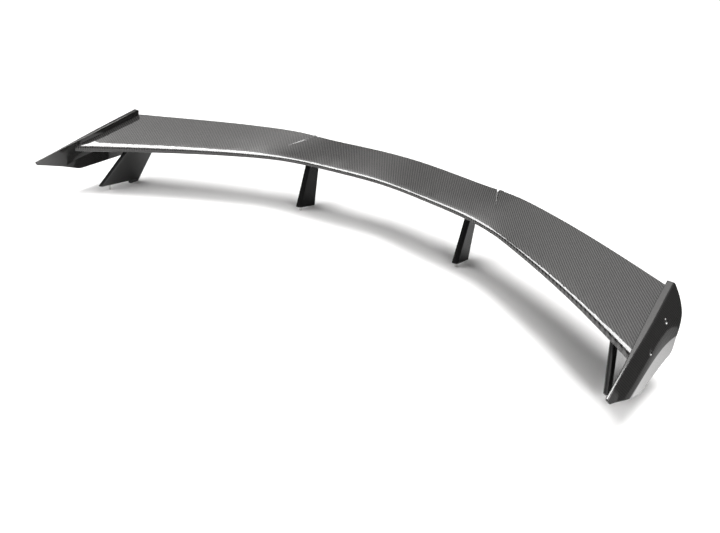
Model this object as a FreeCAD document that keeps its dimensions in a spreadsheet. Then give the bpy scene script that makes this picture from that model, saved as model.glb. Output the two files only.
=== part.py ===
import FreeCAD, Part
import Sketcher
import math
import os

# A boot-lid rear wing in millimetres.
# X runs along the span, -Y is the leading edge side, +Y the trailing edge side and +Z is up.
# The origin lies in the plane of symmetry, under the middle of the depth, on the level of the feet.

os.makedirs("parts", exist_ok=True)
doc = FreeCAD.newDocument("rear_wing")
Vector = FreeCAD.Vector
DOWN_SPAN = Vector(1, 0, 0)
ORIGIN = Vector(0, 0, 0)

# ---------------------------------------------------------------- driving dimensions

SIZES = {
    # blade planform, seven stations from the middle to the tip: span position,
    # nose and trailing edge positions and heights
    "span_a": 0, "nose_y_a": 165.5, "nose_z_a": 141.4, "tail_y_a": 295.5, "tail_z_a": 175.8,
    "span_b": 130, "nose_y_b": 146.2, "nose_z_b": 143.7, "tail_y_b": 279.2, "tail_z_b": 176.9,
    "span_c": 250, "nose_y_c": 126.5, "nose_z_c": 141.5, "tail_y_c": 264, "tail_z_c": 175,
    "span_d": 310, "nose_y_d": 112.5, "nose_z_d": 137.3, "tail_y_d": 244.8, "tail_z_d": 179.8,
    "span_e": 400, "nose_y_e": 62.8, "nose_z_e": 134.4, "tail_y_e": 206.4, "tail_z_e": 181.4,
    "span_f": 550, "nose_y_f": -38.5, "nose_z_f": 127.9, "tail_y_f": 128.5, "tail_z_f": 179.5,
    "span_g": 722, "nose_y_g": -180, "nose_z_g": 120.7, "tail_y_g": 18, "tail_z_g": 178.9,
    "skin": 1.6, "rib_from": 700, "core_split": 330,
    # V-notches in the trailing edge
    "notch_tip_x": 302.7, "notch_tip_y": 173.7, "notch_out_x": 268.2, "notch_in_x": 264.2,
    "notch_end_y": 262,
    # end plates
    "plate_top_x": 715.5, "plate_sheet": 4.5, "plate_front_y": -298.6, "plate_front_z": 114.8,
    "plate_rear_y": 22, "plate_rear_z": 195.8, "plate_bottom_z": 59.5, "plate_hem_z": 40,
    "screw_front_y": -130.5, "screw_front_z": 125.5, "screw_rear_y": -51.5, "screw_rear_z": 150.8,
    "screw_radius": 3, "screw_head_radius": 5.2, "screw_head": 2.8, "screw_dome": 8.35,
    "screw_seat_x": 731.8, "dimple_radius": 6.6, "key_radius": 2.3, "key_deep": 1.6,
    "plate_insert_radius": 4, "plate_insert_from": 702, "plate_insert_to": 711,
    # inner struts
    "inner_x": 237, "inner_lean": 0, "inner_nose_radius": 7.5, "inner_tail_radius": 5,
    "inner_foot_front": 138, "inner_foot_rear": 216.5, "inner_rake_front": 0.3, "inner_rake_rear": 0.074,
    "inner_lid_y": 217, "inner_lid_z": 0, "inner_lid_slope": 0.182,
    # outer stands
    "outer_x": 694, "outer_lean": 0.316, "outer_nose_radius": 7.5, "outer_tail_radius": 4,
    "outer_foot_front": -152.5, "outer_foot_rear": -7.3, "outer_rake_front": 0.761, "outer_rake_rear": 0.4,
    "outer_lid_y": -38, "outer_lid_z": 9.5, "outer_lid_slope": 0.083,
    "strut_start": -24, "strut_reach": 186, "gasket": 1.5, "gasket_end_y": -40,
    "heel_front_y": -36, "heel_rear_y": -2,
    # bolts up through the struts and stands into inserts in the blade
    "bolt_radius": 2.5, "bolt_head_radius": 4.2, "bolt_head_from": 2, "bolt_head": 5, "play": 0.2,
    "wing_insert_radius": 4.2, "wing_insert": 12,
    "inner_bolt_y": 175, "inner_bolt_rake": 0.19, "inner_bolt_top": 161.5,
    "outer_bolt_front_y": -90.9, "outer_bolt_front_rake": 0.46, "outer_bolt_front_top": 154,
    "outer_bolt_rear_y": -58.3, "outer_bolt_rear_rake": 0.42, "outer_bolt_rear_top": 160,
    "hardpoint_inner_half": 20, "hardpoint_inner_front": 178, "hardpoint_inner_rear": 232,
    "hardpoint_outer_half": 28, "hardpoint_outer_front": -48, "hardpoint_outer_rear": 34,
    "hardpoint_outer_x": 648,
    # threaded studs under the feet
    "stud_radius": 3, "stud_neck_radius": 2.6, "stud_neck": 1.5, "stud_end_z": 0.6,
    "foot_insert_radius": 4.2, "foot_insert": 8, "inner_stud_y": 157,
    "outer_stud_y": -106, "outer_stud_x": 688,
}

sheet = doc.addObject("Spreadsheet::Sheet", "sizes")
for row, (alias, value) in enumerate(SIZES.items(), start=1):
    sheet.set("A%d" % row, alias)
    sheet.set("B%d" % row, str(value))
    sheet.setAlias("B%d" % row, alias)
doc.recompute()


def size(alias):
    return float(getattr(sheet, alias))


def bind(thing, **expressions):
    """Ties each property of the object to an expression of the sheet's aliases."""
    for prop, expression in expressions.items():
        thing.setExpression(prop.replace("__", "."), expression)


def shaped(label, shape):
    """A document object with a finished shape."""
    feature = doc.addObject("Part::Feature", label)
    feature.Label = label
    feature.Shape = shape
    feature.Placement = FreeCAD.Placement()
    return feature


def mirrored(shape):
    return shape.mirror(ORIGIN, DOWN_SPAN)


def cut(name, base, tool):
    result = doc.addObject("Part::Cut", name)
    result.Base, result.Tool = base, tool
    return result


def common(name, first, second):
    result = doc.addObject("Part::Common", name)
    result.Base, result.Tool = first, second
    return result


def twin_of(name, source):
    """The left-hand twin of a right-hand object."""
    twin = doc.addObject("Part::Mirroring", name)
    twin.Source = source
    twin.Normal = DOWN_SPAN
    twin.Base = ORIGIN
    return twin


# Limits of the cutting blocks, further out than any part of the wing.
BEHIND, BELOW, ABOVE, BEYOND_TIP = 400, -50, 300, 800


def box(x0, x1, y0=-BEHIND, y1=BEHIND, z0=BELOW, z1=ABOVE):
    return Part.makeBox(x1 - x0, y1 - y0, z1 - z0, Vector(x0, y0, z0))


def both_sides(shape):
    return Part.makeCompound([shape, mirrored(shape)])


# ---------------------------------------------------------------- blade

# One section of the blade in parts of its chord, from the nose to the trailing edge: along the nearly
# flat top, and along the deep underside. The hollow ends at the place where the skins are bonded.
TOP_LINE = [(0, 0), (0.0138, 0.0325), (0.047, 0.046), (0.15, 0.048), (0.4, 0.038), (0.8, 0.018), (1, 0.008)]
UNDER_LINE = [(0, 0), (0.0138, -0.0335), (0.047, -0.052), (0.13, -0.077), (0.28, -0.093),
              (0.5, -0.081), (0.8, -0.0385), (1, -0.008)]
BONDED_FROM = 0.8
STATIONS = "abcdefg"
SECTIONS_ACROSS = 36
BLADE_DEGREE = 5
PLATE_DEGREE = 3


def guide(edge):
    """The line of the noses or tails from tip to tip. Its parameter is the span position."""
    heights = [(size("%s_y_%s" % (edge, letter)), size("%s_z_%s" % (edge, letter))) for letter in STATIONS]
    right = [Vector(size("span_" + letter), *height) for letter, height in zip(STATIONS, heights)]
    left = [Vector(-point.x, point.y, point.z) for point in right[:0:-1]]
    curve = Part.BSplineCurve()
    curve.interpolate(Points=left + right, Parameters=[point.x for point in left + right])
    return curve


def stations():
    """Evenly spaced pairs of a nose and a tail, from the left tip to the right one."""
    noses, tails = guide("nose"), guide("tail")
    tip = size("span_" + STATIONS[-1])
    spans = [tip * (2 * index / SECTIONS_ACROSS - 1) for index in range(SECTIONS_ACROSS + 1)]
    return [(noses.value(span), tails.value(span)) for span in spans]


def in_station(place, along, above):
    """The point at a part of a station's chord along it and above it."""
    nose, tail = place
    dy, dz = tail.y - nose.y, tail.z - nose.z
    return Vector(nose.x, nose.y + along * dy - above * dz, nose.z + along * dz + above * dy)


def smooth(points):
    curve = Part.BSplineCurve()
    curve.interpolate(points)
    return curve


def from_nose(points, place, upward):
    """A curve through the points whose first point is the nose, where it stands across the chord."""
    across = (in_station(place, 0, upward) - in_station(place, 0, 0)).normalize()
    tangents = [across] + [Vector()] * (len(points) - 1)
    flags = [True] + [False] * (len(points) - 1)
    curve = Part.BSplineCurve()
    curve.interpolate(Points=points, Tangents=tangents, TangentFlags=flags)
    return curve


def outer_line(place, line, upward):
    return from_nose([in_station(place, *point) for point in line], place, upward)


def inner_line(place, line, upward, depth):
    """The outer line moved in by a depth, from the nose to where the skins are bonded."""
    outer = outer_line(place, line, upward)
    moved = []
    for along, above in line:
        if along > BONDED_FROM:
            break
        point = in_station(place, along, above)
        tangent = outer.tangent(outer.parameter(point))[0]
        inward = Vector(0, tangent.z, -tangent.y) * upward
        moved.append(point + inward * depth)
    return from_nose(moved, place, upward)


def hollow_section(place, into_lower=0):
    """The space between the skins, which can reach some way into the lower one."""
    top = inner_line(place, TOP_LINE, 1, size("skin"))
    under = inner_line(place, UNDER_LINE, -1, size("skin") - into_lower)
    sides = [top.toShape(), Part.makeLine(top.EndPoint, under.EndPoint), under.toShape()]
    if into_lower:
        sides.append(Part.makeLine(under.StartPoint, top.StartPoint))
    return Part.Wire(sides)


def web_section(place):
    return hollow_section(place, size("skin") / 2)


def skin_section(place, line, upward):
    """A shell on one side of the chord, bonded to the other along the nose and the tail."""
    outer, inner = outer_line(place, line, upward), inner_line(place, line, upward, size("skin"))
    bond_front, bond_rear = in_station(place, BONDED_FROM, 0), in_station(place, 1, 0)
    return Part.Wire([
        outer.toShape(),
        Part.makeLine(outer.EndPoint, bond_rear),
        Part.makeLine(bond_rear, bond_front),
        Part.makeLine(bond_front, inner.EndPoint),
        inner.toShape(),
        Part.makeLine(inner.StartPoint, outer.StartPoint),
    ])


def upper_section(place):
    return skin_section(place, TOP_LINE, 1)


def lower_section(place):
    return skin_section(place, UNDER_LINE, -1)


def over_section(place):
    """Everything above the blade's underside, for trimming the struts to it."""
    ahead, behind, tall = -0.2, 1.25, 0.5
    under = outer_line(place, UNDER_LINE, -1)
    corners = [under.EndPoint, in_station(place, behind, 0), in_station(place, behind, tall),
               in_station(place, ahead, tall), in_station(place, ahead, 0), under.StartPoint]
    sides = [Part.makeLine(first, second) for first, second in zip(corners, corners[1:])]
    return Part.Wire([under.toShape()] + sides)


def across_span(section):
    """Lofts a section through every station, tip to tip."""
    return Part.makeLoft([section(place) for place in stations()], True, False, False, BLADE_DEGREE)


def notch_prism(wall):
    """The V-notch as an upright prism, grown on all sides by a wall thickness."""
    tip = Vector(size("notch_tip_x"), size("notch_tip_y"), BELOW)
    out_end = Vector(size("notch_out_x"), size("notch_end_y"), BELOW)
    in_end = Vector(size("notch_in_x"), size("notch_end_y"), BELOW)
    past_tail = 1.6
    corners = [tip, tip + (out_end - tip) * past_tail, tip + (in_end - tip) * past_tail]
    outline = Part.makePolygon(corners + corners[:1])
    if wall:
        outline = outline.makeOffset2D(wall)
    return Part.Face(outline).extrude(Vector(0, 0, ABOVE - BELOW))


# ---------------------------------------------------------------- end plates

# Slices of the right end plate: y, fold x and z, hem x, how early the outer face bulges, and how far the
# inner face stays flat behind that bulge.
PLATE_SLICES = [
    (-310, 731, 54, 733, 1.35, 0),
    (-210, 736.5, 77, 738.5, 1.35, 0),
    (-130, 739, 95, 745, 2.3, 0.8),
    (-50, 743.5, 99, 751, 2.5, 1),
    (40, 759, 91, 758, 2.1, 1),
]
# The blank runs past the top edge by this much, where it stands in from the edge's place.
RUNOUT, RUNOUT_IN = 8, 3
# Parts of the way from the top edge to the fold at which a slice has a point.
SLICE_PARTS = (0, 0.14, 0.3, 0.5, 0.75, 1)


def endplate_profile(y, fold_x, fold_z, hem_x, crown, depth):
    """
    A closed slice of the right end plate at one y. The outer line leaves the thin top edge, curves
    out to the fold and runs straight to the hem. The inner line follows it at the sheet's thickness
    near the front, and stays back by up to depth where the blade's end and its screws are.
    """
    slope = (size("plate_rear_z") - size("plate_front_z")) / (size("plate_rear_y") - size("plate_front_y"))
    top_z = size("plate_front_z") + slope * (y - size("plate_front_y")) + RUNOUT
    top_x = size("plate_top_x") - RUNOUT_IN
    sheet_wide = size("plate_sheet")
    outer, inner = [], []
    for part in SLICE_PARTS:
        out = top_x + (fold_x - top_x) * (1 - (1 - part) ** crown)
        flat = top_x + (fold_x - top_x) * part ** 2
        z = top_z + (fold_z - top_z) * part
        outer.append(Vector(out, y, z))
        inner.append(Vector(out * (1 - depth) + flat * depth - sheet_wide, y, z))
    hem = Vector(hem_x, y, size("plate_hem_z"))
    inner_hem = Vector(hem_x - sheet_wide, y, size("plate_hem_z"))
    return Part.Wire([
        smooth(outer).toShape(),
        Part.makeLine(outer[-1], hem),
        Part.makeLine(hem, inner_hem),
        Part.makeLine(inner_hem, inner[-1]),
        smooth(inner[::-1]).toShape(),
        Part.makeLine(inner[0], outer[0]),
    ])


def rounded_corner(before, corner, after, radius):
    """Start, middle and finish of the arc that rounds a corner, kept clear of its neighbours' arcs."""
    to_before, to_after = before - corner, after - corner
    share = 0.45
    half = to_before.getAngle(to_after) / 2
    reach = min(radius / math.tan(half), share * to_before.Length, share * to_after.Length)
    radius = reach * math.tan(half)
    to_before.normalize()
    to_after.normalize()
    bisector = (to_before + to_after).normalize()
    middle = corner + bisector * (radius / math.sin(half) - radius)
    return corner + to_before * reach, middle, corner + to_after * reach


def endplate_outline():
    """The side view of the end plate, an arrowhead with rounded corners, as a wide prism."""
    front_y, front_z, bottom = size("plate_front_y"), size("plate_front_z"), size("plate_bottom_z")
    inboard, wide = 600, 200
    corners = [
        (front_y, front_z, 3),
        (front_y + 8, front_z - 10, 6),
        (-209, bottom + 18.5, 60),
        (-158, bottom, 45),
        (10, bottom + 4, 14),
        (13, 98, 40),
        (23, 140, 60),
        (size("plate_rear_y"), size("plate_rear_z"), 5),
    ]
    points = [Vector(inboard, y, z) for y, z, radius in corners]
    following = points[1:] + points[:1]
    arcs = [rounded_corner(points[index - 1], points[index], following[index], corners[index][2])
            for index in range(len(points))]
    edges = []
    for arc, next_arc in zip(arcs, arcs[1:] + arcs[:1]):
        edges.append(Part.Arc(*arc).toShape())
        edges.append(Part.makeLine(arc[2], next_arc[0]))
    return Part.Face(Part.Wire(edges)).extrude(Vector(wide, 0, 0))


def endplate_blank():
    slices = [endplate_profile(*row) for row in PLATE_SLICES]
    return Part.makeLoft(slices, True, False, False, PLATE_DEGREE).common(endplate_outline())


# ---------------------------------------------------------------- struts and stands


def foil_sketch(body, name, height, centre_x, front, rear, nose_radius, tail_radius):
    """
    A teardrop on a level plane: a nose arc and a smaller tail arc joined by two straight sides.
    Its height, places and radii are expressions of the sheet's aliases.
    """
    sketch = body.newObject("Sketcher::SketchObject", name)
    level = [plane for plane in body.Origin.OriginFeatures if plane.Role == "XY_Plane"][0]
    sketch.AttachmentSupport = (level, "")
    sketch.MapMode = "FlatFace"
    sketch.setExpression("AttachmentOffset.Base.z", height)
    start, end, centre = 1, 2, 3
    nose, tail, left_side, right_side = 0, 1, 3, 2
    wide, narrow, long = 7, 4, 80
    upright = Vector(0, 0, 1)
    sketch.addGeometry(Part.ArcOfCircle(Part.Circle(ORIGIN, upright, wide), math.pi, 2 * math.pi))
    sketch.addGeometry(Part.ArcOfCircle(Part.Circle(Vector(0, long, 0), upright, narrow), 0, math.pi))
    sketch.addGeometry(Part.LineSegment(Vector(wide, 0, 0), Vector(narrow, long, 0)))
    sketch.addGeometry(Part.LineSegment(Vector(-narrow, long, 0), Vector(-wide, 0, 0)))
    sketch.addConstraint(Sketcher.Constraint("Tangent", nose, end, right_side, start))
    sketch.addConstraint(Sketcher.Constraint("Tangent", right_side, end, tail, start))
    sketch.addConstraint(Sketcher.Constraint("Tangent", tail, end, left_side, start))
    sketch.addConstraint(Sketcher.Constraint("Tangent", left_side, end, nose, start))
    origin = -1
    dimensions = [
        (Sketcher.Constraint("Radius", nose, wide), nose_radius),
        (Sketcher.Constraint("Radius", tail, narrow), tail_radius),
        (Sketcher.Constraint("DistanceX", origin, start, nose, centre, 1), centre_x),
        (Sketcher.Constraint("DistanceX", origin, start, tail, centre, 1), centre_x),
        (Sketcher.Constraint("DistanceY", origin, start, nose, centre, 0), front + " + " + nose_radius),
        (Sketcher.Constraint("DistanceY", origin, start, tail, centre, long), rear + " - " + tail_radius),
    ]
    for constraint, expression in dimensions:
        index = sketch.addConstraint(constraint)
        sketch.setExpression("Constraints[%d]" % index, expression)
    return sketch


def strut_body(kind):
    """A raw strut from below its foot to inside the blade, lofted between two teardrops."""
    body = doc.addObject("PartDesign::Body", kind + "_raw")
    sections = []
    for level in ("strut_start", "strut_reach"):
        height = "sizes." + level
        at_height = "sizes.%s_foot_%s + sizes.%s_rake_%s * " + height
        sections.append(foil_sketch(
            body, kind + "_" + level, height,
            "sizes.%s_x - sizes.%s_lean * %s" % (kind, kind, height),
            at_height % (kind, "front", kind, "front"),
            at_height % (kind, "rear", kind, "rear"),
            "sizes.%s_nose_radius" % kind,
            "sizes.%s_tail_radius" % kind,
        ))
    loft = body.newObject("PartDesign::AdditiveLoft", kind + "_loft")
    loft.Profile = sections[0]
    loft.Sections = [sections[1]]
    doc.recompute()
    return body


def lid_slab(name, kind, bottom, thick):
    """A wide slab parallel to the lid under a foot, from bottom above the lid upward by thick."""
    half = BEHIND
    slab = doc.addObject("Part::Box", name)
    slab.Length = slab.Width = 2 * half
    slab.setExpression("Height", thick)
    turn = FreeCAD.Rotation(Vector(1, 0, 0), -math.degrees(math.atan(size(kind + "_lid_slope"))))
    lid = Vector(size(kind + "_x"), size(kind + "_lid_y"), size(kind + "_lid_z"))
    slab.Placement = FreeCAD.Placement(lid + turn.multVec(Vector(-half, -half, bottom)), turn)
    return slab


# ---------------------------------------------------------------- fasteners


def raked_rod(x, y, lean, rake, low, high, radius):
    """A rod through (x, y, 0) that leans inboard and rakes back with height."""
    foot = Vector(x - lean * low, y + rake * low, low)
    head = Vector(x - lean * high, y + rake * high, high)
    return Part.makeCylinder(radius, (head - foot).Length, foot, head - foot)


def bolt_places():
    """Every strut bolt on the right: name, x, y at z = 0, lean, rake, underside height and top height."""
    inner_y, inner_rake = size("inner_bolt_y"), size("inner_bolt_rake")
    inner = ("inner", size("inner_x"), inner_y, size("inner_lean"), inner_rake, size("inner_bolt_top"))
    front = ("outer", size("outer_x"), size("outer_bolt_front_y"), size("outer_lean"),
             size("outer_bolt_front_rake"), size("outer_bolt_front_top"))
    rear = ("outer", size("outer_x"), size("outer_bolt_rear_y"), size("outer_lean"),
            size("outer_bolt_rear_rake"), size("outer_bolt_rear_top"))
    return [inner, front, rear]


def underside(kind, y):
    """Height of a foot's underside, above its gasket."""
    return size(kind + "_lid_z") + size("gasket") + size(kind + "_lid_slope") * (size(kind + "_lid_y") - y)


def bolt(place, grown=0, sunk=0):
    """A cap screw up a strut. Grown and sunk make the hole it passes through instead."""
    kind, x, y, lean, rake, top = place
    head_low = underside(kind, y) + size("bolt_head_from")
    head_high = head_low + size("bolt_head")
    head = raked_rod(x, y, lean, rake, head_low - sunk, head_high, size("bolt_head_radius") + grown)
    into_head = 1
    shank = raked_rod(x, y, lean, rake, head_high - into_head, top, size("bolt_radius") + grown)
    return head.fuse(shank)


def wing_insert(place, radius):
    kind, x, y, lean, rake, top = place
    past_bolt = 0.5
    return raked_rod(x, y, lean, rake, top - size("wing_insert"), top + past_bolt, radius)


def stud_places():
    """Every foot stud on the right: foot kind, x and y."""
    return [
        ("inner", size("inner_x"), size("inner_stud_y")),
        ("outer", size("outer_stud_x"), size("outer_stud_y")),
    ]


def upright(place, radius, low, high):
    kind, x, y = place
    return Part.makeCylinder(radius, high - low, Vector(x, y, low))


def stud(place):
    """A stud below the foot, with a thinner neck from under the gasket to the top of its insert."""
    floor = underside(place[0], place[2])
    neck_from = floor - size("gasket") - size("stud_neck")
    thread = upright(place, size("stud_radius"), size("stud_end_z"), neck_from)
    return thread.fuse(upright(place, size("stud_neck_radius"), neck_from, floor + size("foot_insert")))


def foot_insert(place):
    floor = underside(place[0], place[2])
    return upright(place, size("foot_insert_radius"), floor, floor + size("foot_insert")).cut(stud(place))


def screw_places():
    return [
        (size("screw_front_y"), size("screw_front_z")),
        (size("screw_rear_y"), size("screw_rear_z")),
    ]


def along_span(place, radius, inboard, outboard):
    y, z = place
    return Part.makeCylinder(radius, outboard - inboard, Vector(inboard, y, z), DOWN_SPAN)


def button_screw():
    """A button-head screw built from primitives bound to the sheet, its head's seat on z = 0."""
    shank = doc.addObject("Part::Cylinder", "screw_shank")
    bind(shank, Radius="sizes.screw_radius", Height="sizes.screw_seat_x - sizes.plate_insert_from")
    shank.setExpression("Placement.Base.z", "sizes.plate_insert_from - sizes.screw_seat_x")
    disc = doc.addObject("Part::Cylinder", "screw_disc")
    bind(disc, Radius="sizes.screw_head_radius", Height="sizes.screw_head")
    dome = doc.addObject("Part::Sphere", "screw_dome")
    bind(dome, Radius="sizes.screw_dome")
    dome.setExpression("Placement.Base.z", "sizes.screw_head - sizes.screw_dome")
    key = doc.addObject("Part::Prism", "screw_key")
    bind(key, Circumradius="sizes.key_radius", Height="2 * sizes.key_deep")
    key.setExpression("Placement.Base.z", "sizes.screw_head - sizes.key_deep")
    head = cut("screw_socket", common("screw_head", disc, dome), key)
    screw = doc.addObject("Part::Fuse", "screw_whole")
    screw.Base, screw.Tool = head, shank
    doc.recompute()
    return screw


# ---------------------------------------------------------------- assembly

nodes = []


def node(label, shape):
    """A piece with a finished shape. One solid stays a plain solid."""
    nodes.append(shaped(label, shape.Solids[0] if len(shape.Solids) == 1 else shape))


def node_pair(name, right):
    """A right-hand object of the document and its left-hand twin, both pieces of the wing."""
    right.Label = name + "_right"
    nodes.extend([right, twin_of(name + "_left", right)])


def sides_of(shapes):
    """One compound of identical small pieces: every right-hand solid and its twin."""
    solids = [solid for shape in shapes for solid in shape.Solids]
    return Part.makeCompound(solids + [mirrored(solid) for solid in solids])


bolts = bolt_places()
studs = stud_places()
screws = screw_places()
BELOW_FOOT, HEEL_BELOW, THROUGH = 60, 40, 30

# Struts and stands are raw lofts cut to the blade above and the lid below, then drilled.
over_underside = shaped("over_underside", across_span(over_section))
gasket_space = {
    "inner": upright(studs[0], size("stud_radius") + size("play"), BELOW, ABOVE),
    "outer": upright(studs[1], size("stud_radius") + size("play"), BELOW, ABOVE).fuse(
        box(0, BEYOND_TIP, size("gasket_end_y"))),
}
for kind, name in (("inner", "inner_strut"), ("outer", "outer_stand")):
    raw = strut_body(kind)
    drill = [bolt(place, size("play"), THROUGH) for place in bolts if place[0] == kind]
    for place in studs:
        if place[0] == kind:
            floor = underside(kind, place[2])
            drill.append(upright(place, size("foot_insert_radius"), BELOW, floor + size("foot_insert")))
    holes = shaped(kind + "_holes", drill[0].multiFuse(drill[1:]))
    under_blade = cut(kind + "_under_blade", raw, over_underside)
    below_foot = lid_slab(kind + "_below_foot", kind, size("gasket") - BELOW_FOOT, str(BELOW_FOOT))
    solid = cut(kind + "_solid", under_blade, below_foot)
    node_pair(name, cut(kind + "_drilled", solid, holes))
    layer = common(kind + "_layer", raw, lid_slab(kind + "_layer_slab", kind, 0, "sizes.gasket"))
    space = shaped(kind + "_gasket_space", gasket_space[kind])
    node_pair("gasket_" + kind, cut(kind + "_gasket", layer, space))

heel_block = shaped("heel_block", box(
    0, BEYOND_TIP, size("heel_front_y"), size("heel_rear_y"), 0, HEEL_BELOW))
heel = common("heel", doc.getObject("outer_raw"), heel_block)
node_pair("heel_pad", cut("heel_under_stand", heel, doc.getObject("outer_drilled")))
doc.recompute()

# End plates with their screws and the inserts in the blade's end ribs.
hollow = across_span(hollow_section)
plate_blank = endplate_blank()
seat_x, insert_from, insert_to = size("screw_seat_x"), size("plate_insert_from"), size("plate_insert_to")
dimples = [along_span(place, size("dimple_radius"), seat_x, BEYOND_TIP) for place in screws]
hole_radius = size("screw_radius") + size("play")
screw_holes = [along_span(place, hole_radius, insert_to, BEYOND_TIP) for place in screws]
node_pair("endplate", shaped("endplate", plate_blank.cut(dimples + screw_holes)))

button = button_screw().Shape
placed_screws = []
for y, z in screws:
    placed = button.copy()
    placed.Placement = FreeCAD.Placement(Vector(seat_x, y, z), FreeCAD.Rotation(Vector(0, 1, 0), 90))
    placed_screws.append(placed)
node("endplate_screws", sides_of(placed_screws))
insert_rods = [along_span(place, size("plate_insert_radius"), insert_from, insert_to) for place in screws]
screw_rods = [along_span(place, size("screw_radius"), insert_from, BEYOND_TIP) for place in screws]
node("endplate_inserts", sides_of([rod.cut(screw) for rod, screw in zip(insert_rods, screw_rods)]))
end_rib = hollow.common(box(size("rib_from"), BEYOND_TIP)).cut([plate_blank] + insert_rods + screw_holes)
node_pair("end_rib", shaped("end_rib", end_rib))

# Skins, opened by the notches, whose side walls belong to the lower skin.
notches = both_sides(notch_prism(0))
notch_walls = both_sides(notch_prism(size("skin")))
plates = both_sides(plate_blank)
bolt_holes = [bolt(place, size("play"), THROUGH) for place in bolts]
webs = across_span(web_section).common(notch_walls).cut(notches)
lower_skin = across_span(lower_section).cut(plates).cut(notches).fuse(webs)
node("upper_skin", across_span(upper_section).cut(plates).cut(notches))
node("lower_skin", lower_skin.cut(bolt_holes + [mirrored(hole) for hole in bolt_holes]))

# Bolts and their inserts, in hardpoints that are let into the foam cores.
wing_rods = [wing_insert(place, size("wing_insert_radius")).common(hollow) for place in bolts]
node("wing_inserts", sides_of([rod.cut(bolt(place)) for rod, place in zip(wing_rods, bolts)]))
node("strut_bolts", sides_of([bolt(place) for place in bolts if place[0] == "inner"]))
node("stand_bolts", sides_of([bolt(place) for place in bolts if place[0] == "outer"]))
blocks = []
for kind, centre_x in (("inner", size("inner_x")), ("outer", size("hardpoint_outer_x"))):
    half = size("hardpoint_%s_half" % kind)
    block = box(centre_x - half, centre_x + half,
                size("hardpoint_%s_front" % kind), size("hardpoint_%s_rear" % kind))
    drill = [rod for rod, place in zip(wing_rods, bolts) if place[0] == kind]
    node_pair("hardpoint_" + kind, shaped("hardpoint_" + kind, hollow.common(block).cut(drill)))
    blocks.append(block)
rib_from, split = size("rib_from"), size("core_split")
foam = hollow.cut([notch_walls] + blocks + [mirrored(block) for block in blocks])
node("core_center", foam.common(box(-split, split)))
node_pair("core", shaped("core", foam.common(box(split, rib_from)).Solids[0]))

node("mounting_studs", sides_of([stud(place) for place in studs]))
node("foot_inserts", sides_of([foot_insert(place) for place in studs]))
doc.recompute()

# ---------------------------------------------------------------- checks and files

for thing in doc.Objects:
    if "Invalid" in thing.State or "Error" in thing.State:
        raise RuntimeError("failed object: " + thing.Name)
for piece in nodes:
    if piece.Shape.isNull() or not piece.Shape.isValid() or not piece.Shape.Solids:
        raise RuntimeError("bad shape: " + piece.Label)
for piece in nodes:
    piece.Shape.exportStep("parts/%s.step" % piece.Label)
    print("%-24s %2d solids %9.0f mm3" % (piece.Label, len(piece.Shape.Solids), piece.Shape.Volume))
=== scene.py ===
import math

import bmesh
import bpy
from mathutils import Matrix, Vector
from mathutils.bvhtree import BVHTree


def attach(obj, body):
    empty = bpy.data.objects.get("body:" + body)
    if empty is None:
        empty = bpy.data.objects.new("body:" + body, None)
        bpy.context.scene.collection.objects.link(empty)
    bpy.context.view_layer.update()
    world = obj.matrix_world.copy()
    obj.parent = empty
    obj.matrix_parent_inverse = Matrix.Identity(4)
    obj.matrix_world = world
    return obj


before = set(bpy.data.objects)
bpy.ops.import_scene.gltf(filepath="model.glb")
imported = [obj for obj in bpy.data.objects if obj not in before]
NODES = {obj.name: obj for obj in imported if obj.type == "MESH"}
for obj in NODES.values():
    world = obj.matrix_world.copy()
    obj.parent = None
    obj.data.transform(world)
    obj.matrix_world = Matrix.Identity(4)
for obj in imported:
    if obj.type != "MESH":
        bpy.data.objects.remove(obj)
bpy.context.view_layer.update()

MM = 0.001

# ---------------------------------------------------------------- sizes and looks

# Carbon cloth. A 2x2 twill repeats every four tows, and each tow runs over two and under two.
TOW = 1.50 * MM              # width of one tow
TWILL_REPEAT = 4.0           # tows
WARP_ON_TOP = 1.5            # steps 0 and 1 of the repeat show the warp, steps 2 and 3 the weft
TOW_CROWN = 3.2              # how much a tow falls away from its middle

# End-plate coat weight, which paints reflection: a thin coat paints the outer face dark above the fold
# line, and a full coat paints the flange below it bright. The fold line bows down from its crest. The rim
# is the plate's upper edge, which rises along Y. The mesh already starts to turn above the fold line, so
# the line is this material's own.
FOLD_CREST_Y, FOLD_CREST_Z = -0.045, 0.0995
FOLD_BOW = 0.64
FACE_SHADE_COAT, FLANGE_GLEAM_COAT = 0.16, 0.95
RIM_RISE, RIM_Z = 0.2527, 0.1903
RIM_DEPTH = 0.003

# The notches in the trailing edge, along the CAD's outer side: the tip, and a place just short of the tail.
NOTCH_TIP = (302.7 * MM, 173.7 * MM)
NOTCH_TAIL = (270.4 * MM, 256.3 * MM)
# Section of the rolled lip at the tail, in millimetres: across the notch (inboard is plus) and up.
LIP_SECTION = [(-13.0, -0.4), (-8.0, 1.0), (-4.5, 1.9), (-3.2, 1.7), (2.6, -4.0), (1.6, -4.6), (-0.6, -2.6),
               (-13.0, -1.2)]
LIP_STEPS = 14               # sections along the lip
LIP_AT_TIP = 0.04            # size of the section at the tip, as a share of the one at the tail
LIP_REACH = 0.6 * MM         # how far outboard of the edge the skin's height is read

# The room. Each kind of ray sees its own brightness.
WALL_SEEN = 0.3              # reflections, at the horizon
CEILING_SEEN = 9.0           # reflections, added overhead
CEILING_FADE = 6.0           # power of the upward direction
BACKDROP_SEEN = 1.2          # the camera
AMBIENT = 0.1                # soft light
FLOOR_SPAN = 60              # metres
FLAG_CORNERS = [(0.93, -0.35, 0.0), (0.88, 0.6, 0.0), (0.88, 0.6, 0.5), (0.93, -0.35, 0.5)]

# The camera stands to the right in front of the wing, looks down on it and leans a little.
CAMERA_PLACE = (0.85224, -1.25289, 0.74827)
CAMERA_TURN, CAMERA_DROP, CAMERA_LEAN = math.radians(32.06), math.radians(26.92), math.radians(5.5)
CAMERA_LENS, FILM_WIDTH = 35.576, 36.0      # millimetres
CAMERA_FAR = 200.0

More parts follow.
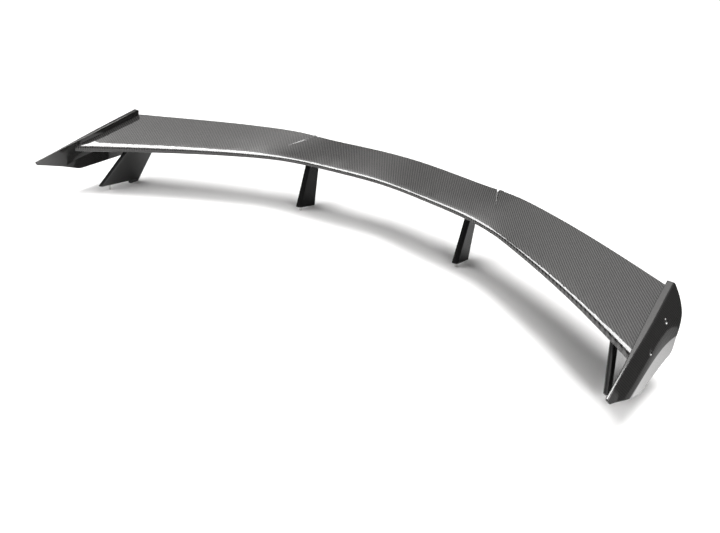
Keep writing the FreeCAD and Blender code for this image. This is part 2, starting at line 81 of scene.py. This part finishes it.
# ---------------------------------------------------------------- node helpers


class Maker:
    """Builds a material's or world's node tree with short calls."""

    def __init__(self, owner):
        owner.use_nodes = True
        self.tree = owner.node_tree
        self.tree.nodes.clear()

    def node(self, kind, inputs=None, **settings):
        made = self.tree.nodes.new(kind)
        for key, value in settings.items():
            setattr(made, key, value)
        for key, value in (inputs or {}).items():
            self.put(made.inputs[key], value)
        return made

    def put(self, socket, value):
        if isinstance(value, bpy.types.NodeSocket):
            self.tree.links.new(value, socket)
        else:
            socket.default_value = value

    def math(self, operation, first, second=0.0, third=0.0):
        made = self.node("ShaderNodeMath", operation=operation)
        for socket, value in zip(made.inputs, (first, second, third)):
            self.put(socket, value)
        return made.outputs[0]

    def mix(self, share, low, high):
        made = self.node("ShaderNodeMix", data_type="RGBA")
        self.put(made.inputs[0], share)
        self.put(made.inputs[6], low)
        self.put(made.inputs[7], high)
        return made.outputs[2]

    def ramp(self, value, low, high, out_low=0.0, out_high=1.0):
        made = self.node("ShaderNodeMapRange", {"Value": value, "From Min": low, "From Max": high,
                                                "To Min": out_low, "To Max": out_high})
        return made.outputs[0]

    def noise(self, where, scale, detail=3.0, roughness=0.5):
        made = self.node("ShaderNodeTexNoise", {"Vector": where, "Scale": scale, "Detail": detail,
                                                "Roughness": roughness})
        return made.outputs[0]

    def bump(self, height, strength, distance, normal=None):
        made = self.node("ShaderNodeBump", {"Height": height, "Strength": strength, "Distance": distance})
        if normal is not None:
            self.put(made.inputs["Normal"], normal)
        return made.outputs[0]

    def place(self):
        """The position on the object, in metres."""
        return self.node("ShaderNodeTexCoord").outputs["Object"]

    def soft_edges(self, radius_mm):
        """A normal that rounds sharp edges by a small radius."""
        return self.node("ShaderNodeBevel", {"Radius": radius_mm * MM}, samples=6).outputs[0]

    def shader(self, **inputs):
        made = self.node("ShaderNodeBsdfPrincipled")
        for key, value in inputs.items():
            self.put(made.inputs[key.replace("_", " ")], value)
        output = self.node("ShaderNodeOutputMaterial")
        self.tree.links.new(made.outputs[0], output.inputs[0])
        return made


def grey(level, warm=0.0):
    return (level * (1 + warm), level, level * (1 - warm), 1.0)


# ---------------------------------------------------------------- materials


def twill(make, across, along):
    """
    A 2x2 twill over two coordinates. Gives 1 where a tow that runs along the second one is on top, and
    the height of the tow on top.
    """
    column = make.math("DIVIDE", across, TOW)
    row = make.math("DIVIDE", along, TOW)
    column_index = make.math("FLOOR", column)
    row_index = make.math("FLOOR", row)
    step = make.math("FLOORED_MODULO", make.math("ADD", column_index, row_index), TWILL_REPEAT)
    warp_up = make.math("LESS_THAN", step, WARP_ON_TOP)
    in_column = make.math("SUBTRACT", make.math("FRACT", column), 0.5)
    in_row = make.math("SUBTRACT", make.math("FRACT", row), 0.5)

    def crown(offset):
        square = make.math("MULTIPLY", offset, offset)
        return make.math("SUBTRACT", 1.0, make.math("MULTIPLY", square, TOW_CROWN))

    height = make.math("ADD", make.math("MULTIPLY", warp_up, crown(in_column)),
                       make.math("MULTIPLY", make.math("SUBTRACT", 1.0, warp_up), crown(in_row)))
    return warp_up, height


def carbon(name, across, along, warp_sheen_level, weft_shade_level, coat_rough, coat=None, edge_mm=0.0, cloth_turn=0.0):
    """
    Clear-coated twill laminate. The weave lies in the plane of the two named axes. The coat is full
    unless a function is given that builds its weight from the node maker and the position.
    """
    material = bpy.data.materials.new(name)
    make = Maker(material)
    where = make.place()
    axes = make.node("ShaderNodeSeparateXYZ", {"Vector": where})
    cloth = make.node("ShaderNodeVectorRotate", {"Vector": where, "Angle": math.radians(cloth_turn)},
                      rotation_type="Z_AXIS")
    cloth_axes = make.node("ShaderNodeSeparateXYZ", {"Vector": cloth.outputs[0]})
    warp_up, height = twill(make, cloth_axes.outputs[across], cloth_axes.outputs[along])
    fibre = make.noise(where, 2600.0, 2.0)
    patch = make.noise(where, 14.0, 4.0)
    # painted sheen and shade: warp tows get a much lighter colour than weft tows of the same fibre, for the
    # sheen along the fibres
    warp_sheen_colour = make.mix(fibre, grey(warp_sheen_level * 0.7, 0.02), grey(warp_sheen_level * 1.3, 0.02))
    weft_shade_colour = make.mix(fibre, grey(weft_shade_level * 0.6, 0.02), grey(weft_shade_level * 1.4, 0.02))
    colour = make.mix(warp_up, weft_shade_colour, warp_sheen_colour)
    # painted shade: each tow's colour darkens towards its sides, where it dips under the crossing tows
    shade = make.ramp(height, 0.2, 1.0, 0.6, 1.0)
    shaded = make.node("ShaderNodeVectorMath", {0: colour, 1: shade}, operation="MULTIPLY")
    rough = make.ramp(patch, 0.3, 0.7, 0.42, 0.52)
    edges = make.soft_edges(edge_mm) if edge_mm else None
    relief = make.bump(height, 0.35, 0.10 * MM, edges)
    peel = make.bump(make.noise(where, 160.0, 2.0), 0.010, 0.4 * MM, edges)
    coat_weight = coat(make, axes) if coat else 1.0
    make.shader(Base_Color=shaded.outputs[0], Roughness=rough, Normal=relief, Coat_Normal=peel,
                Coat_Weight=coat_weight, Coat_Roughness=coat_rough, Coat_IOR=1.5, Specular_IOR_Level=0.0)
    return material


def painted_fold_reflection(make, axes):
    """The coat weight, which paints reflection: thin above the fold line, so the outer face looks dark, and
    full below it, on the rim and on the inside, so the flange and the rim look bright.
    """
    from_crest = make.math("SUBTRACT", axes.outputs["Y"], FOLD_CREST_Y)
    bow = make.math("MULTIPLY", make.math("MULTIPLY", from_crest, from_crest), FOLD_BOW)
    fold = make.math("SUBTRACT", FOLD_CREST_Z, bow)
    below = make.math("SUBTRACT", fold, axes.outputs["Z"])
    # painted reflection: the coat jumps from thin to full across the fold line, so the flange below it
    # shines
    flange = make.ramp(below, -2.0 * MM, 1.5 * MM, FACE_SHADE_COAT, FLANGE_GLEAM_COAT)
    # painted highlight: the rim keeps a full coat, so its edge line shines
    rim_foot = make.math("MULTIPLY_ADD", axes.outputs["Y"], RIM_RISE, RIM_Z - RIM_DEPTH)
    rim = make.ramp(make.math("SUBTRACT", axes.outputs["Z"], rim_foot), -0.5 * MM, 0.5 * MM)
    normal = make.node("ShaderNodeNewGeometry").outputs["Normal"]
    facing = make.node("ShaderNodeSeparateXYZ", {"Vector": normal})
    outward = make.math("MULTIPLY", facing.outputs["X"], make.math("SIGN", axes.outputs["X"]))
    inner_face = make.ramp(outward, 0.2, 0.0)
    return make.math("MAXIMUM", make.math("MAXIMUM", flange, rim), inner_face)


def black_gloss(name, shine):
    material = bpy.data.materials.new(name)
    make = Maker(material)
    where = make.place()
    haze = make.noise(where, 35.0, 4.0)
    colour = make.mix(haze, grey(0.004), grey(0.008))
    rough = make.ramp(haze, 0.35, 0.7, 0.16, 0.26)
    peel = make.bump(make.noise(where, 140.0, 2.0), 0.03, 0.5 * MM, make.soft_edges(1.0))
    make.shader(Base_Color=colour, Roughness=rough, Normal=peel, Specular_IOR_Level=shine)
    return material


def metal(name, level, rough):
    material = bpy.data.materials.new(name)
    make = Maker(material)
    where = make.place()
    grain = make.noise(where, 900.0, 3.0)
    stain = make.noise(where, 90.0, 4.0)
    colour = make.mix(stain, grey(level * 0.8, 0.02), grey(level * 1.15, 0.01))
    roughness = make.ramp(grain, 0.3, 0.7, rough * 0.8, rough * 1.3)
    relief = make.bump(grain, 0.08, 0.05 * MM)
    make.shader(Base_Color=colour, Metallic=1.0, Roughness=roughness, Normal=relief)
    return material


def matt(name, low, high, rough, scale, relief_mm):
    """Rubber, foam and dense laminate: a mottled colour over a pitted or moulded surface."""
    material = bpy.data.materials.new(name)
    make = Maker(material)
    where = make.place()
    cells = make.noise(where, scale, 5.0, 0.6)
    colour = make.mix(make.ramp(cells, 0.3, 0.7), low, high)
    relief = make.bump(cells, 0.5, relief_mm * MM)
    roughness = make.ramp(cells, 0.3, 0.7, rough - 0.06, rough + 0.06)
    make.shader(Base_Color=colour, Roughness=roughness, Normal=relief)
    return material


def floor_material():
    material = bpy.data.materials.new("studio_floor")
    make = Maker(material)
    cloud = make.noise(make.place(), 3.0, 2.0)
    colour = make.mix(cloud, (0.895, 0.89, 0.885, 1), (0.905, 0.9, 0.895, 1))
    make.shader(Base_Color=colour, Roughness=0.9, Specular_IOR_Level=0.0)
    return material


def dress(material, *names):
    for name in names:
        mesh = NODES[name].data
        mesh.materials.clear()
        mesh.materials.append(material)


def pair(name):
    return name + "_left", name + "_right"


dress(carbon("carbon_blade", "X", "Y", 0.058, 0.005, coat_rough=0.05, cloth_turn=10.0),
      "upper_skin", "lower_skin")
dress(carbon("carbon_plate", "Y", "Z", 0.020, 0.012, coat_rough=0.09, coat=painted_fold_reflection, edge_mm=2.0),
      *pair("endplate"))
dress(black_gloss("strut_satin", 0.04), *pair("inner_strut"))
dress(black_gloss("stand_gloss", 0.5), *pair("outer_stand"))
dress(metal("black_oxide", 0.10, 0.34), "endplate_screws", "strut_bolts", "stand_bolts")
dress(metal("zinc", 0.62, 0.24), "mounting_studs")
dress(metal("turned_aluminium", 0.75, 0.28), "endplate_inserts", "wing_inserts", "foot_inserts")
dress(matt("rubber", grey(0.012), grey(0.028), 0.7, 420.0, 0.06), *pair("gasket_inner"),
      *pair("gasket_outer"), *pair("heel_pad"))
dress(matt("foam", (0.62, 0.55, 0.40, 1), (0.80, 0.74, 0.60, 1), 0.85, 700.0, 0.25),
      "core_center", *pair("core"))
dress(matt("dense_laminate", (0.13, 0.11, 0.08, 1), (0.22, 0.20, 0.16, 1), 0.6, 250.0, 0.08),
      *pair("end_rib"), *pair("hardpoint_inner"), *pair("hardpoint_outer"))

# ---------------------------------------------------------------- notch lips


def top_surface():
    """Gives a function that finds the upper skin's top under a point."""
    skin = NODES["upper_skin"].data
    tree = BVHTree.FromPolygons([vertex.co for vertex in skin.vertices],
                                [polygon.vertices for polygon in skin.polygons])
    above = 1.0
    return lambda x, y: tree.ray_cast(Vector((x, y, above)), Vector((0, 0, -1)))[0]


def notch_lip(side, sign):
    """A rolled lip on the outer side of a notch. It grows from nothing at the tip to the tail."""
    tip, tail = Vector(NOTCH_TIP), Vector(NOTCH_TAIL)
    along = (tail - tip).normalized()
    inboard = Vector((-along.y, along.x))
    surface = top_surface()
    mesh = bmesh.new()
    rings = []
    for step in range(LIP_STEPS + 1):
        share = step / LIP_STEPS
        foot = tip.lerp(tail, share)
        size = LIP_AT_TIP + (1 - LIP_AT_TIP) * share
        outer = foot - inboard * LIP_REACH
        height = surface(sign * outer.x, outer.y).z
        ring = []
        for across, up in LIP_SECTION:
            place = foot + inboard * across * size * MM
            ring.append(mesh.verts.new((sign * place.x, place.y, height + up * size * MM)))
        rings.append(ring)
    count = len(LIP_SECTION)
    for ring, following in zip(rings, rings[1:]):
        for index in range(count):
            after = (index + 1) % count
            mesh.faces.new((ring[index], ring[after], following[after], following[index]))
    mesh.faces.new(rings[0])
    mesh.faces.new(rings[-1])
    bmesh.ops.recalc_face_normals(mesh, faces=mesh.faces)
    data = bpy.data.meshes.new("notch_lip_" + side)
    mesh.to_mesh(data)
    mesh.free()
    lip = bpy.data.objects.new("notch_lip_" + side, data)
    bpy.context.collection.objects.link(lip)
    data.materials.append(NODES["upper_skin"].data.materials[0])
    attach(lip, "root")


notch_lip("right", 1)
notch_lip("left", -1)

# ---------------------------------------------------------------- stage, light and camera


def studio_floor():
    bpy.ops.mesh.primitive_plane_add(size=FLOOR_SPAN)
    floor = bpy.context.object
    floor.name = "studio_floor"
    floor.data.materials.append(floor_material())


def studio_world():
    """A white room: what the gloss mirrors dims towards the horizon, and its own soft light is weak."""
    world = bpy.data.worlds.new("studio")
    bpy.context.scene.world = world
    make = Maker(world)
    path = make.node("ShaderNodeLightPath")
    direction = make.node("ShaderNodeTexCoord").outputs["Generated"]
    up = make.node("ShaderNodeSeparateXYZ", {"Vector": direction})
    height = make.math("MAXIMUM", up.outputs["Z"], 0.0)
    glow = make.math("MULTIPLY", make.math("POWER", height, CEILING_FADE), CEILING_SEEN)
    mirrored = make.math("ADD", glow, WALL_SEEN)
    strength = make.math("MULTIPLY", path.outputs["Is Glossy Ray"], mirrored)
    backdrop = make.math("MULTIPLY", path.outputs["Is Camera Ray"], BACKDROP_SEEN)
    strength = make.math("ADD", strength, backdrop)
    ambient = make.math("MULTIPLY", path.outputs["Is Diffuse Ray"], AMBIENT)
    strength = make.math("ADD", strength, ambient)
    background = make.node("ShaderNodeBackground", {"Color": (1.0, 0.99, 0.98, 1), "Strength": strength})
    output = make.node("ShaderNodeOutputWorld")
    make.tree.links.new(background.outputs[0], output.inputs[0])


def panel(name, middle, target, wide, deep, radiance, diffuse=True, glossy=True, twist=0.0):
    """
    A rectangular soft light, its long side along X, turned to a target and then twisted about Z. It may
    light only what scatters light (glossy off) or be seen only in reflections (diffuse off).
    """
    light = bpy.data.lights.new(name, "AREA")
    light.shape = "RECTANGLE"
    light.size, light.size_y = wide, deep
    light.energy = radiance * math.pi * wide * deep
    lamp = bpy.data.objects.new(name, light)
    bpy.context.collection.objects.link(lamp)
    out = (Vector(middle) - Vector(target)).normalized()
    side = Vector((1, 0, 0))
    up = out.cross(side).normalized()
    turned = Matrix((up.cross(out), up, out)).transposed().to_4x4()
    lamp.matrix_world = Matrix.Translation(middle) @ Matrix.Rotation(math.radians(twist), 4, "Z") @ turned
    lamp.visible_camera = False
    lamp.visible_diffuse = diffuse
    lamp.visible_glossy = glossy


def overhead_sun(strength, spread_degrees, lean_degrees):
    """A broad even light from above, which keeps the whole floor white."""
    light = bpy.data.lights.new("ceiling_wash", "SUN")
    light.energy = strength
    light.angle = math.radians(spread_degrees)
    lamp = bpy.data.objects.new("ceiling_wash", light)
    bpy.context.collection.objects.link(lamp)
    lamp.rotation_euler = (math.radians(lean_degrees), 0, 0)
    lamp.visible_glossy = False


def flag(name, corners, level):
    """A grey card that only reflections see, which keeps a face that looks past the floor dark."""
    mesh = bpy.data.meshes.new(name)
    mesh.from_pydata(corners, [], [(0, 1, 2, 3)])
    card = bpy.data.objects.new(name, mesh)
    bpy.context.collection.objects.link(card)
    material = bpy.data.materials.new(name)
    make = Maker(material)
    glow = make.node("ShaderNodeEmission", {"Color": (1, 1, 1, 1), "Strength": level})
    output = make.node("ShaderNodeOutputMaterial")
    make.tree.links.new(glow.outputs[0], output.inputs[0])
    mesh.materials.append(material)
    card.visible_camera = False
    card.visible_diffuse = False
    card.visible_shadow = False


def lights():
    overhead_sun(strength=3.35, spread_degrees=30.0, lean_degrees=-8.0)
    panel("key", (0.45, -0.12, 1.5), (0.45, 0.0, 0), wide=2.2, deep=0.6, radiance=2.5, glossy=False)
    panel("left_fill", (-1.2, -1.5, 0.9), (-0.4, 0.1, 0.0), wide=1.6, deep=1.0, radiance=7.0, glossy=False)
    panel("right_fill", (1.7, -1.0, 0.8), (0.7, -0.2, 0.0), wide=0.8, deep=0.8, radiance=8.0, glossy=False)
    panel("nose_card", (0.0, -0.15, 1.45), (0.0, -0.15, 0.1), wide=3.0, deep=1.15, radiance=17.0,
          diffuse=False, twist=8.0)
    flag("right_flag", FLAG_CORNERS, level=0.22)


def camera():
    level = math.cos(CAMERA_DROP)
    back = Vector((math.sin(CAMERA_TURN) * level, -math.cos(CAMERA_TURN) * level, math.sin(CAMERA_DROP)))
    right = (-back).cross(Vector((0, 0, 1))).normalized()
    up = right.cross(-back)
    across = math.cos(CAMERA_LEAN) * right + math.sin(CAMERA_LEAN) * up
    upward = -math.sin(CAMERA_LEAN) * right + math.cos(CAMERA_LEAN) * up
    data = bpy.data.cameras.new("camera")
    data.sensor_width = FILM_WIDTH
    data.lens = CAMERA_LENS
    data.clip_end = CAMERA_FAR
    seen = bpy.data.objects.new("camera", data)
    bpy.context.collection.objects.link(seen)
    turned = Matrix((across, upward, back)).transposed().to_4x4()
    seen.matrix_world = Matrix.Translation(CAMERA_PLACE) @ turned
    bpy.context.scene.camera = seen


studio_floor()
studio_world()
lights()
camera()
bpy.context.scene.view_settings.view_transform = "Standard"
